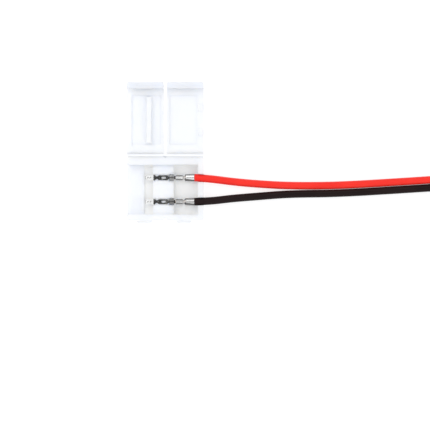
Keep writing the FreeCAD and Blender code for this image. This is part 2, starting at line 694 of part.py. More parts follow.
def tail(side):
    """Return a stripped and tinned wire end where the coil lets go of it."""
    _, _, (y3, r3) = coil_turns()
    turn = math.radians(-90 + COIL_TAIL_ANGLE)
    radius = r3 + side * PAIR_PITCH / 2
    start = point(COIL_X + radius * math.cos(turn), y3 + radius * math.sin(turn), TABLE_WIRE_Z)
    ahead = point(-math.sin(turn), math.cos(turn), 0)
    pin = Part.makeCylinder(TAIL_DIAMETER / 2, TAIL_LENGTH, start, ahead)
    return pin.makeChamfer(TAIL_BEVEL, [pin.Edges[0]])


COIL_X = RED_ROUTE[-1][0]
COIL_Y = (RED_ROUTE[-1][1] + BLACK_ROUTE[-1][1]) / 2

NODES = {
    "base_tray": base_tray,
    "strip_leaf": strip_leaf,
    "wire_leaf": wire_leaf,
    "red_contact": lambda: contact(RED_Y),
    "black_contact": lambda: contact(BLACK_Y),
    "red_strands": lambda: strands(RED_Y),
    "black_strands": lambda: strands(BLACK_Y),
    "red_lead": lambda: lead(RED_ROUTE, "red_lead"),
    "black_lead": lambda: lead(BLACK_ROUTE, "black_lead"),
    "lead_coil": lead_coil,
    "red_tail": lambda: tail(-1),
    "black_tail": lambda: tail(1),
}

os.makedirs("parts", exist_ok=True)
for node, make in NODES.items():
    solid = make()
    print(node, "solids", len(solid.Solids), "valid", solid.isValid(), "mm3", round(solid.Volume, 2))
    solid.exportStep(f"parts/{node}.step")
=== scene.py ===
import logging
import math
from dataclasses import dataclass
from enum import Enum
from typing import Callable, Sequence

import bmesh
import bpy
from mathutils import Matrix, Vector


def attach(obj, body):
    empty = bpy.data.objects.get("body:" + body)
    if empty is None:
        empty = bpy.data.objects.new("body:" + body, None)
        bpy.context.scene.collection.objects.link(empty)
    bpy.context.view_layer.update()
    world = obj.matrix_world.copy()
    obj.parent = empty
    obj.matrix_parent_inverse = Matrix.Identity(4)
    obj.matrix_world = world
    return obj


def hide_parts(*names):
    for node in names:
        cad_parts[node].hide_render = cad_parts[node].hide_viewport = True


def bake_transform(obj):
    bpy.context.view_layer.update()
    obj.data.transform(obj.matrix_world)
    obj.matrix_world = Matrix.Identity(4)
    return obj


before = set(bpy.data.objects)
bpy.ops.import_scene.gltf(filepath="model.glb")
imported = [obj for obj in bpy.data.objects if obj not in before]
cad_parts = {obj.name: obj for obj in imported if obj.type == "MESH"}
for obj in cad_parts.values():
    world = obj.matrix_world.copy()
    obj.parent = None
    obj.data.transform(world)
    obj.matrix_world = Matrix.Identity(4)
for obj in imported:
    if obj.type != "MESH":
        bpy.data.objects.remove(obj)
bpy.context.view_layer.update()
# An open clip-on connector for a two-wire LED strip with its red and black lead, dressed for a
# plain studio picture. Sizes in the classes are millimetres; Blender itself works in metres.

MM = 0.001
LOG = logging.getLogger("strip_connector")

Flat = tuple[float, float]
Place = tuple[float, float, float]
Colour = tuple[float, float, float]


class Body(Enum):
    """The moving bodies that pieces ride on."""

    TRAY = "base_tray"
    STRIP_LEAF = "strip_leaf"
    WIRE_LEAF = "wire_leaf"


class Line(Enum):
    """The two lines of the lead, each with its contact's place across the tray."""

    RED = 2.5
    BLACK = -2.5

    @property
    def word(self) -> str:
        """Return the line's colour as a word for names."""
        return self.name.lower()


class Turn(Enum):
    """Which wire of the coiled pair a line is, as its offset in half pitches."""

    INNER = -1
    OUTER = 1


def mm(place: Place) -> Vector:
    """Return a point given in millimetres as a vector in metres."""
    return Vector(place) * MM


def along(value: float, keys: Sequence[Flat]) -> float:
    """Read a piecewise straight line.

    Args:
        value: Where to read it.
        keys: Its (place, height) corners, in rising order of place.

    Returns:
        The height there, held constant past both ends.
    """
    if value <= keys[0][0]:
        return keys[0][1]
    for (a, low), (b, high) in zip(keys, keys[1:]):
        if value <= b:
            return low + (high - low) * (value - a) / (b - a)
    return keys[-1][1]


def between(ends: Flat, share: float) -> float:
    """Return the value that lies a share of the way from one end to the other."""
    return ends[0] + (ends[1] - ends[0]) * share


def mirrored(half: Sequence[Flat]) -> list[Flat]:
    """Return a whole section from its right half, which starts on the middle line."""
    return [(-y, z) for y, z in reversed(half)][:-1] + list(half)


def resampled(line: Sequence[Flat], count: int) -> list[Flat]:
    """Spread points evenly along a line.

    Args:
        line: Its corners.
        count: How many points to return, both ends among them.

    Returns:
        The points.
    """
    reach = [0.0]
    for a, b in zip(line, line[1:]):
        reach.append(reach[-1] + math.dist(a, b))
    ys = [(s, p[0]) for s, p in zip(reach, line)]
    zs = [(s, p[1]) for s, p in zip(reach, line)]
    steps = [reach[-1] * i / (count - 1) for i in range(count)]
    return [(along(s, ys), along(s, zs)) for s in steps]


def arc(centre: Flat, radius: float, start: float, end: float, count: int = 12) -> list[Flat]:
    """Return points on an arc.

    Args:
        centre: The arc's centre.
        radius: Its radius.
        start: Its first angle, in degrees.
        end: Its last angle, in degrees.
        count: How many points to return.

    Returns:
        The points, in order.
    """
    turns = [math.radians(between((start, end), i / (count - 1))) for i in range(count)]
    return [(centre[0] + radius * math.cos(t), centre[1] + radius * math.sin(t)) for t in turns]


class Recipe:
    """A node tree under construction."""

    def __init__(self, tree: bpy.types.NodeTree) -> None:
        """Start an empty tree.

        Args:
            tree: The tree to fill.
        """
        self.tree = tree
        tree.nodes.clear()

    def add(self, kind: str, values: dict | None = None, **settings: object) -> bpy.types.Node:
        """Place a node.

        Args:
            kind: The node's Blender type.
            values: Its inputs by name or number: a plain value, or the socket that feeds it.
            settings: Its properties.

        Returns:
            The node.
        """
        node = self.tree.nodes.new(kind)
        for key, value in settings.items():
            setattr(node, key, value)
        for key, value in (values or {}).items():
            if isinstance(value, bpy.types.NodeSocket):
                self.tree.links.new(value, node.inputs[key])
            else:
                node.inputs[key].default_value = value
        return node

    def maths(self, operation: str, *values: object) -> bpy.types.NodeSocket:
        """Return the result of a Math node on some values or sockets."""
        return self.add("ShaderNodeMath", dict(enumerate(values)), operation=operation).outputs[0]

    def mix(self, factor: object, first: object, second: object) -> bpy.types.NodeSocket:
        """Blend two colours.

        Args:
            factor: How much of the second, a number or a socket.
            first: The colour at 0.
            second: The colour at 1.

        Returns:
            The blended colour's socket.
        """
        node = self.add("ShaderNodeMix", {0: factor, 6: first, 7: second}, data_type="RGBA")
        return node.outputs[2]

    def ranged(self, value: bpy.types.NodeSocket, low: float, high: float,
               to: Flat = (0, 1)) -> bpy.types.NodeSocket:
        """Map a value's range smoothly to another.

        Args:
            value: The socket to map.
            low: Where the range starts.
            high: Where it ends.
            to: What both ends become.

        Returns:
            The mapped value's socket.
        """
        inputs = {"Value": value, "From Min": low, "From Max": high,
                  "To Min": to[0], "To Max": to[1]}
        return self.add("ShaderNodeMapRange", inputs, interpolation_type="SMOOTHSTEP").outputs[0]

    def faded(self, value: bpy.types.NodeSocket, span: Flat,
              to: Flat = (0, 1)) -> bpy.types.NodeSocket:
        """Return a smooth change along a coordinate, over a span in millimetres."""
        return self.ranged(value, span[0] * MM, span[1] * MM, to)


@dataclass(frozen=True)
class Effect:
    """A surface effect that several finishes share, kept as one node group on a Position."""

    name: str
    inputs: tuple[tuple[str, float], ...]
    outputs: tuple[str, ...]
    build: Callable[["Recipe", bpy.types.Node], dict[str, object]]

    def group(self) -> bpy.types.NodeTree:
        """Find the effect's node group, or make it on first use.

        Returns:
            The group.
        """
        known = bpy.data.node_groups.get(self.name)
        if known:
            return known
        tree = bpy.data.node_groups.new(self.name, "ShaderNodeTree")
        sockets = tree.interface
        sockets.new_socket("Position", in_out="INPUT", socket_type="NodeSocketVector")
        for name, value in self.inputs:
            socket = sockets.new_socket(name, in_out="INPUT", socket_type="NodeSocketFloat")
            socket.default_value = value
        for name in self.outputs:
            sockets.new_socket(name, in_out="OUTPUT", socket_type="NodeSocketFloat")
        recipe = Recipe(tree)
        entry = recipe.add("NodeGroupInput")
        recipe.add("NodeGroupOutput", self.build(recipe, entry))
        return tree

    def place(self, recipe: Recipe, **values: object) -> bpy.types.Node:
        """Put the effect in a material.

        Args:
            recipe: The material's tree.
            values: The effect's inputs by name.

        Returns:
            The group's node.
        """
        return recipe.add("ShaderNodeGroup", values, node_tree=self.group())


def build_moulded_skin(recipe: Recipe, entry: bpy.types.Node) -> dict[str, object]:
    """Build the fine orange peel and the slow sinks of a moulded or extruded skin.

    Args:
        recipe: The group's tree.
        entry: The group's input node.

    Returns:
        The group's outputs by name.
    """
    where = entry.outputs["Position"]
    grain = recipe.add("ShaderNodeTexNoise", {"Vector": where, "Scale": entry.outputs["Grain"],
                                              "Detail": 3.0, "Roughness": 0.55})
    slow = recipe.add("ShaderNodeTexNoise", {"Vector": where, "Scale": entry.outputs["Sink"],
                                             "Detail": 2.0, "Roughness": 0.5})
    fine = recipe.maths("MULTIPLY", grain.outputs["Fac"], 0.35)
    height = recipe.maths("ADD", fine, slow.outputs["Fac"])
    return {"Height": height, "Mottle": recipe.ranged(slow.outputs["Fac"], 0.32, 0.68)}


def build_drawn_lines(recipe: Recipe, entry: bpy.types.Node) -> dict[str, object]:
    """Build the fine lines that drawing and stamping leave along X, with a few stray scratches.

    Args:
        recipe: The group's tree.
        entry: The group's input node.

    Returns:
        The group's outputs by name.
    """
    where = entry.outputs["Position"]
    stretched = recipe.add("ShaderNodeMapping", {"Vector": where, "Scale": (0.06, 1.0, 1.0)})
    lines = recipe.add("ShaderNodeTexNoise", {"Vector": stretched.outputs[0],
                                              "Scale": entry.outputs["Lines"], "Detail": 4.0})
    slant = recipe.add("ShaderNodeMapping", {"Vector": where, "Rotation": (0.0, 0.0, 0.6),
                                             "Scale": (0.12, 1.0, 1.0)})
    stray = recipe.add("ShaderNodeTexNoise", {"Vector": slant.outputs[0],
                                              "Scale": entry.outputs["Lines"], "Detail": 1.0})
    scratch = recipe.ranged(stray.outputs["Fac"], 0.66, 0.72)
    height = recipe.maths("SUBTRACT", lines.outputs["Fac"], scratch)
    tone = recipe.ranged(lines.outputs["Fac"], 0.3, 0.7)
    return {"Height": height, "Scratch": scratch, "Tone": tone}


def build_handling(recipe: Recipe, entry: bpy.types.Node) -> dict[str, object]:
    """Build the faint cloudy patches where a surface has been touched or stored.

    Args:
        recipe: The group's tree.
        entry: The group's input node.

    Returns:
        The group's outputs by name.
    """
    cloud = recipe.add("ShaderNodeTexNoise", {"Vector": entry.outputs["Position"],
                                              "Scale": entry.outputs["Patches"], "Detail": 5.0,
                                              "Roughness": 0.62, "Distortion": 0.4})
    return {"Patch": recipe.ranged(cloud.outputs["Fac"], 0.38, 0.7)}


MOULDED_SKIN = Effect("moulded_skin", (("Grain", 9000.0), ("Sink", 350.0)), ("Height", "Mottle"),
                      build_moulded_skin)
DRAWN_LINES = Effect("drawn_lines", (("Lines", 16000.0),), ("Height", "Scratch", "Tone"),
                     build_drawn_lines)
HANDLING = Effect("handling", (("Patches", 260.0),), ("Patch",), build_handling)


@dataclass(frozen=True)
class Finish:
    """What every finish has: a name, the record's slot, a roughness range and a fine relief."""

    name: str
    slot: str
    smooth: float
    rough: float
    relief: Flat

    def start(self) -> tuple[bpy.types.Material, Recipe, bpy.types.Node, bpy.types.Node]:
        """Start the finish's material.

        Returns:
            The material, its recipe, its coordinates and its shader.
        """
        material = bpy.data.materials.new(self.name)
        material.use_nodes = True
        recipe = Recipe(material.node_tree)
        where = recipe.add("ShaderNodeTexCoord")
        shader = recipe.add("ShaderNodeBsdfPrincipled")
        recipe.add("ShaderNodeOutputMaterial", {"Surface": shader.outputs[0]})
        return material, recipe, where, shader

    def surface(self, recipe: Recipe, shader: bpy.types.Node, colour: bpy.types.NodeSocket,
                gloss: bpy.types.NodeSocket, height: bpy.types.NodeSocket) -> None:
        """Give a shader its colour, its roughness and its relief.

        Args:
            recipe: The material's tree.
            shader: Its shader.
            colour: The socket of its colour.
            gloss: The socket of its roughness.
            height: The socket of its relief's height, from 0 to about 1.
        """
        strength, depth = self.relief
        bump = recipe.add("ShaderNodeBump", {"Height": height, "Strength": strength,
                                             "Distance": depth})
        links = recipe.tree.links
        links.new(colour, shader.inputs["Base Color"])
        links.new(gloss, shader.inputs["Roughness"])
        links.new(bump.outputs[0], shader.inputs["Normal"])

    def material(self) -> bpy.types.Material:
        """Return the finish's material, made on first use."""
        return bpy.data.materials.get(self.name) or self.make()

    def make(self) -> bpy.types.Material:
        """Build the material; each finish has its own way."""
        raise NotImplementedError


@dataclass(frozen=True)
class MilkyPlastic(Finish):
    """Milky white moulded plastic, with painted shade and a painted see-through tint in its colour.

    Painted shade greys the pocket floors deep down, less towards their walls; a bluer tint is
    painted for the light seen through thin floors and panels; painted shade greys the very thick
    skirt. The spans say over which heights, or how far from the strip's centreline, each tint
    fades in.
    """

    colour: Colour = (0.86, 0.87, 0.89)
    sink_colour: Colour = (0.835, 0.853, 0.885)
    # Painted shade on the low pocket floors, and the lighter painted shade it fades to near their
    # walls
    pocket_shade_colour: Colour = (0.785, 0.78, 0.755)
    pocket_shade_edge_colour: Colour = (0.88, 0.875, 0.845)
    # Painted tint for the light seen through thin plates, and painted shade on the thick skirt
    see_through_colour: Colour = (0.815, 0.83, 0.865)
    thick_shade_colour: Colour = (0.76, 0.785, 0.845)
    pocket_z: Flat = (0.62, 0.82)
    floor_z: Flat = (1.0, 1.2)
    panel_z: Flat = (2.43, 2.58)
    corner_y: Flat = (2.6, 5.0)
    leaf_y: Flat = (7.9, 8.3)
    skirt_y: Flat = (20.95, 21.2)
    soak: float = 0.8
    soak_radii: Colour = (1.0, 1.05, 1.15)
    soak_scale: float = 0.0016
    sheen: float = 0.25
    grain: float = 7000.0
    sinks: float = 320.0
    patches: float = 240.0

    def make(self) -> bpy.types.Material:
        """Build the plastic.

        Returns:
            The material.
        """
        material, recipe, where, shader = self.start()
        position = where.outputs["Object"]
        skin = MOULDED_SKIN.place(recipe, Position=position, Grain=self.grain, Sink=self.sinks)
        touched = HANDLING.place(recipe, Position=position, Patches=self.patches)
        parts = recipe.add("ShaderNodeSeparateXYZ", {0: position})
        facing = recipe.add("ShaderNodeSeparateXYZ", {0: where.outputs["Normal"]})
        level, across = parts.outputs["Z"], parts.outputs["Y"]
        up = recipe.ranged(facing.outputs["Z"], 0.5, 0.9)
        # Painted shade: the up-facing floors low in the pockets are greyed, less towards their
        # walls
        pocket = recipe.maths("MULTIPLY", recipe.faded(level, self.pocket_z, (1, 0)), up)
        panel = recipe.maths("MULTIPLY", recipe.faded(level, self.panel_z, (1, 0)),
                             recipe.faded(across, self.leaf_y))
        floor = recipe.faded(level, self.floor_z, (1, 0))
        # Painted tint where the floors and panels are thin, for the light seen through them
        thin = recipe.maths("MULTIPLY", recipe.maths("MAXIMUM", panel, floor), up)
        corner = recipe.faded(recipe.maths("ABSOLUTE", across), self.corner_y)
        # Painted shade on the thick skirt, where less light comes through
        thick = recipe.faded(across, self.skirt_y)
        mottled = recipe.mix(skin.outputs["Mottle"], (*self.colour, 1), (*self.sink_colour, 1))
        deep = recipe.mix(corner, (*self.pocket_shade_colour, 1), (*self.pocket_shade_edge_colour, 1))
        clear = recipe.mix(thin, mottled, (*self.see_through_colour, 1))
        sunk = recipe.mix(pocket, clear, deep)
        colour = recipe.mix(thick, sunk, (*self.thick_shade_colour, 1))
        gloss = recipe.ranged(touched.outputs["Patch"], 0, 1, (self.smooth, self.rough))
        self.surface(recipe, shader, colour, gloss, skin.outputs["Height"])
        shader.inputs["Subsurface Weight"].default_value = self.soak
        shader.inputs["Subsurface Radius"].default_value = self.soak_radii
        shader.inputs["Subsurface Scale"].default_value = self.soak_scale
        shader.inputs["Specular IOR Level"].default_value = self.sheen
        return material


@dataclass(frozen=True)
class TinPlate(Finish):
    """Bright tin on stamped sheet: fine lines along it, and painted shade, with more roughness, in
    its hollows, clefts and seams.
    """

    colour: Colour = (0.94, 0.94, 0.92)
    line_colour: Colour = (0.83, 0.83, 0.815)
    # The darkest painted shade, and how rough the tin grows under it
    painted_shade_colour: Colour = (0.055, 0.05, 0.045)
    painted_shade_roughness: float = 0.6
    lines: float = 15000.0
    patches: float = 900.0

    def make(self) -> bpy.types.Material:
        """Build the plated metal.

        Returns:
            The material.
        """
        material, recipe, where, shader = self.start()
        position = where.outputs["Object"]
        lines = DRAWN_LINES.place(recipe, Position=position, Lines=self.lines)
        touched = HANDLING.place(recipe, Position=position, Patches=self.patches)
        # Painted shade, laid per point by the contact, darkens the tin and makes it rougher
        painted_shade = recipe.add("ShaderNodeAttribute", attribute_name="painted_shade").outputs["Fac"]
        plated = recipe.mix(lines.outputs["Tone"], (*self.line_colour, 1), (*self.colour, 1))
        colour = recipe.mix(painted_shade, plated, (*self.painted_shade_colour, 1))
        gloss = recipe.ranged(touched.outputs["Patch"], 0, 1, (self.smooth, self.rough))
        dull = recipe.maths("MULTIPLY", painted_shade, self.painted_shade_roughness)
        gloss = recipe.maths("MAXIMUM", gloss, dull)
        self.surface(recipe, shader, colour, gloss, lines.outputs["Height"])
        shader.inputs["Metallic"].default_value = 1.0
        return material


@dataclass(frozen=True)
class TinnedCopper(Finish):
    """Tinned copper, with the copper showing through where the tin is thin."""

    colour: Colour = (0.74, 0.73, 0.71)
    copper: Colour = (0.62, 0.42, 0.30)
    bare: float = 0.45
    lines: float = 9000.0
    patches: float = 1500.0

    def make(self) -> bpy.types.Material:
        """Build the tinned metal.

        Returns:
            The material.
        """
        material, recipe, where, shader = self.start()
        position = where.outputs["Object"]
        lines = DRAWN_LINES.place(recipe, Position=position, Lines=self.lines)
        touched = HANDLING.place(recipe, Position=position, Patches=self.patches)
        thin = recipe.maths("MULTIPLY", touched.outputs["Patch"], self.bare)
        colour = recipe.mix(thin, (*self.colour, 1), (*self.copper, 1))
        gloss = recipe.ranged(lines.outputs["Tone"], 0, 1, (self.smooth, self.rough))
        self.surface(recipe, shader, colour, gloss, lines.outputs["Height"])
        shader.inputs["Metallic"].default_value = 1.0
        return material


@dataclass(frozen=True)
class Insulation(Finish):
    """Soft extruded insulation, with slow shade changes along it and a satin skin."""

    colour: Colour = (0.9, 0.03, 0.02)
    shade: Colour = (0.75, 0.02, 0.015)
    sheen: float = 0.3
    grain: float = 5200.0
    sinks: float = 260.0
    patches: float = 180.0

    def make(self) -> bpy.types.Material:
        """Build the insulation.

        Returns:
            The material.
        """
        material, recipe, where, shader = self.start()
        position = where.outputs["Object"]
        skin = MOULDED_SKIN.place(recipe, Position=position, Grain=self.grain, Sink=self.sinks)
        touched = HANDLING.place(recipe, Position=position, Patches=self.patches)
        colour = recipe.mix(skin.outputs["Mottle"], (*self.colour, 1), (*self.shade, 1))
        gloss = recipe.ranged(touched.outputs["Patch"], 0, 1, (self.smooth, self.rough))
        self.surface(recipe, shader, colour, gloss, skin.outputs["Height"])
        shader.inputs["Specular IOR Level"].default_value = self.sheen
        return material


PLASTIC = MilkyPlastic("milky_plastic", "white_plastic", 0.28, 0.4, (0.25, 0.00003))
WEB = MilkyPlastic("web_plastic", "white_plastic", 0.3, 0.42, (0.25, 0.00003),
                   colour=(0.92, 0.93, 0.95), sink_colour=(0.9, 0.912, 0.94), soak=0.0)
TIN = TinPlate("tin_plate", "tinned_contact", 0.08, 0.17, (0.3, 0.000006))
STRAND_TIN = TinnedCopper("tinned_strands", "tinned_copper", 0.2, 0.42, (0.3, 0.000008))
SKINS = {
    Line.RED: Insulation("red_skin", "red_insulation", 0.34, 0.46, (0.2, 0.00002),
                         colour=(0.93, 0.026, 0.014), shade=(0.88, 0.02, 0.01)),
    Line.BLACK: Insulation("black_skin", "black_insulation", 0.34, 0.48, (0.2, 0.00002),
                           colour=(0.0115, 0.0055, 0.0055), shade=(0.015, 0.0075, 0.0075),
                           sheen=0.11),
}


def placed(name: str, data: bpy.types.ID) -> bpy.types.Object:
    """Put an object in the scene.

    Args:
        name: The object's name.
        data: Its mesh, curve, light or camera.

    Returns:
        The object, at the origin.
    """
    made = bpy.data.objects.new(name, data)
    bpy.context.scene.collection.objects.link(made)
    return made


def meshed(name: str, bm: bmesh.types.BMesh) -> bpy.types.Object:
    """Make an object of a mesh in millimetres.

    Args:
        name: The object's name.
        bm: Its mesh, freed here.

    Returns:
        The object, at the origin with its place in its mesh.
    """
    bmesh.ops.transform(bm, matrix=Matrix.Scale(MM, 4), verts=bm.verts)
    mesh = bpy.data.meshes.new(name)
    bm.to_mesh(mesh)
    bm.free()
    return placed(name, mesh)


def dressed(piece: bpy.types.Object, finish: Finish, body: Body) -> bpy.types.Object:
    """Give a piece its finish and its body.

    Args:
        piece: The piece.
        finish: What it is finished in.
        body: What it rides on.

    Returns:
        The same piece.
    """
    piece.data.materials.clear()
    piece.data.materials.append(finish.material())
    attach(piece, body.value)
    LOG.info("%s: %s on %s", piece.name, finish.name, body.value)
    return piece


def smoothed(piece: bpy.types.Object, degrees: float) -> None:
    """Shade a piece smoothly except across edges sharper than an angle.

    Args:
        piece: The mesh piece.
        degrees: The angle.
    """
    mesh = piece.data
    mesh.shade_smooth()
    mesh.set_sharp_from_angle(angle=math.radians(degrees))


@dataclass
class Moulding:
    """A moulded part: the CAD solid's shape with the soft edges that a mould gives."""

    node: str
    body: Body
    edge: float = 0.09
    shortest: float = 0.45
    sharp: float = 28.0

    def build(self) -> bpy.types.Object:
        """Build and dress the moulding.

        Returns:
            The piece.
        """
        bm = bmesh.new()
        bm.from_mesh(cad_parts[self.node].data)
        bmesh.ops.transform(bm, matrix=Matrix.Scale(1 / MM, 4), verts=bm.verts)
        bmesh.ops.remove_doubles(bm, verts=bm.verts, dist=1e-4)
        self.shape(bm)
        bmesh.ops.remove_doubles(bm, verts=bm.verts, dist=1e-3)
        bmesh.ops.dissolve_degenerate(bm, edges=bm.edges, dist=1e-3)
        bmesh.ops.dissolve_limit(bm, angle_limit=math.radians(0.5), verts=bm.verts, edges=bm.edges,
                                 delimit={"NORMAL"})
        soft = [edge for edge in bm.edges if self.is_long_corner(edge)]
        bmesh.ops.bevel(bm, geom=soft, offset=self.edge, segments=3, profile=0.5, affect="EDGES",
                        clamp_overlap=True, material=-1)
        piece = dressed(meshed(f"{self.node}_moulding", bm), PLASTIC, self.body)
        smoothed(piece, 40)
        even = piece.modifiers.new("even", "WEIGHTED_NORMAL")
        even.keep_sharp = True
        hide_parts(self.node)
        return piece

    def shape(self, bm: bmesh.types.BMesh) -> None:
        """Give the moulding what is soft or springy on the real thing, where it has any."""

    def is_long_corner(self, edge: bmesh.types.BMEdge) -> bool:
        """Return whether an edge is a corner long enough to round."""
        long_enough = edge.is_manifold and edge.calc_length() >= self.shortest
        return long_enough and edge.calc_face_angle() > math.radians(self.sharp)


@dataclass
class TrayMoulding(Moulding):
    """The tray, whose saddles lie close on the wires where these lean out of their grooves."""

    wall_x: Flat = (6.75, 8.0)
    saddle_half: float = 0.96
    close_half: float = 0.835
    # Each saddle's axis, and how far its wire lies off it at both faces of the wall
    leans: tuple[tuple[float, Flat], ...] = ((2.5, (-0.046, -0.145)), (-2.5, (0.023, 0.08)))

    def shape(self, bm: bmesh.types.BMesh) -> None:
        """Draw each saddle in on its wire.

        Args:
            bm: The tray's mesh.
        """
        for axis, (near, far) in self.leans:
            for vert in bm.verts:
                x, y, _ = vert.co
                if x > self.wall_x[0] - 0.01 and abs(y - axis) < self.saddle_half + 0.01:
                    lean = along(x, ((self.wall_x[0], near), (self.wall_x[1], far)))
                    vert.co.y = axis + lean + (y - axis) * self.close_half / self.saddle_half


@dataclass
class LeafMoulding(Moulding):
    """A leaf, with the latch ledge out where it springs to and without the stiff hinge bead."""

    cut_y: float = 7.46
    skirt_y: float = 21.05
    ledge_y: float = 21.5
    ledge_z: float = 3.95

    def shape(self, bm: bmesh.types.BMesh) -> None:
        """Bring the ledge out and cut the bead off, where a soft film is laid instead.

        Args:
            bm: The leaf's mesh.
        """
        for vert in bm.verts:
            if vert.co.z > self.ledge_z - 0.01 and abs(vert.co.y - self.ledge_y) < 0.02:
                vert.co.y = self.skirt_y
        geometry = [*bm.verts, *bm.edges, *bm.faces]
        bmesh.ops.bisect_plane(bm, geom=geometry, dist=1e-5, plane_co=(0, self.cut_y, 0),
                               plane_no=(0, -1, 0), clear_outer=True)
        rim = [edge for edge in bm.edges if edge.is_boundary]
        bmesh.ops.holes_fill(bm, edges=rim, sides=0)


@dataclass
class HingeFilm:
    """The thin web between the tray and one leaf.

    It overlaps both a little, and dips a little along its middle.
    """

    name: str
    leaf: Body
    x: Flat
    y: Flat = (6.9, 7.6)
    folds: Flat = (6.98, 7.52)
    top: float = 2.704
    sag: float = 0.03
    narrowing: float = 1.35
    thickness: float = 0.14
    rows: int = 24
    columns: int = 12

    def build(self) -> bpy.types.Object:
        """Build and dress the film.

        Returns:
            The piece.
        """
        bm = bmesh.new()
        bmesh.ops.create_grid(bm, x_segments=self.columns, y_segments=self.rows, size=1.0)
        middle, half = sum(self.y) / 2, (self.y[1] - self.y[0]) / 2
        for vert in bm.verts:
            across = min(1.0, self.narrowing * abs(vert.co.y))
            dip = self.sag * math.cos(across * math.pi / 2) ** 2
            x = between(self.x, (vert.co.x + 1) / 2)
            vert.co = Vector((x, middle + half * vert.co.y, self.top - dip))
        bmesh.ops.recalc_face_normals(bm, faces=bm.faces)
        under = bmesh.ops.extrude_face_region(bm, geom=bm.faces[:])["geom"]
        lowered = [part for part in under if isinstance(part, bmesh.types.BMVert)]
        bmesh.ops.translate(bm, verts=lowered, vec=(0, 0, -self.thickness))
        bmesh.ops.recalc_face_normals(bm, faces=bm.faces)
        piece = meshed(self.name, bm)
        piece.data.materials.append(WEB.material())
        smoothed(piece, 40)
        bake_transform(piece)
        LOG.info("%s: %s between %s and %s", self.name, WEB.name, Body.TRAY.value, self.leaf.value)
        return piece


